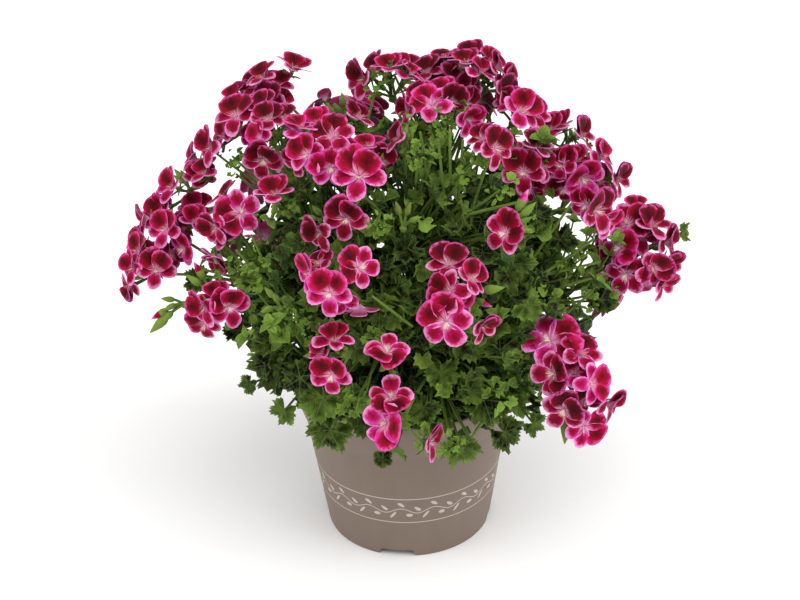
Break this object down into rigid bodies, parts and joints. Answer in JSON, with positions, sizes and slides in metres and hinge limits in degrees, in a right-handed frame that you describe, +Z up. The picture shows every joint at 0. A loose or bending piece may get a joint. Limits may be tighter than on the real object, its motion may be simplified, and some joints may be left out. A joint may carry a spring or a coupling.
{
  "type": "potted angel pelargonium",
  "caption": "Bushy angel pelargonium in full bloom in a round tapered nursery pot with a flared collar, ready to stand on a flat surface.",
  "frame": {"origin": "centre of the pot's foot, on the surface it stands on", "axes": "+Z up through the pot, -Y towards the plant's best side, +X to the right seen from there"},
  "size_m": [0.2975, 0.2532, 0.2669],
  "materials": {
    "pot": "matte taupe injection-moulded plastic with thin off-white print",
    "soil": "dark, crumbly, matte peat soil",
    "leaves_and_stems": "soft green, finely haired, satin leaves and stems",
    "petals": "velvety dark crimson petals with pale pink margins and white throats"
  },
  "bodies": {
    "root": {"pot": "pot", "soil": "soil", "stems_left": "leaves_and_stems", "stems_right": "leaves_and_stems", "stems_front": "leaves_and_stems", "head_left_tip": "petals", "head_left_shoulder": "petals", "head_left_upper": "petals", "head_left_inner": "petals", "head_left_cup": "petals", "head_left_crest": "petals", "head_top_left": "petals", "head_left_heart": "petals", "head_middle_left": "petals", "head_middle": "petals", "head_middle_rear": "petals", "head_top_rear": "petals", "head_top_first": "petals", "head_top_second": "petals", "head_top_third": "petals", "head_top_tip": "petals", "head_right_heart": "petals", "head_middle_dark": "petals", "head_right_crest": "petals", "head_right_star": "petals", "head_right_upper": "petals", "head_right_rear": "petals", "head_right_shoulder": "petals", "head_right_inner": "petals", "head_right_tip": "petals", "head_centre_cup": "petals", "head_centre_left": "petals", "head_centre_right": "petals", "head_right_face": "petals", "head_front_cup": "petals", "head_front_left": "petals", "head_front_low": "petals", "head_front_right": "petals", "head_low_left": "petals", "head_back_1": "petals", "head_back_2": "petals", "head_back_3": "petals", "head_back_4": "petals", "head_back_5": "petals", "head_back_6": "petals", "head_back_7": "petals", "head_back_8": "petals", "head_back_9": "petals", "head_back_10": "petals"}
  },
  "joints": []
}
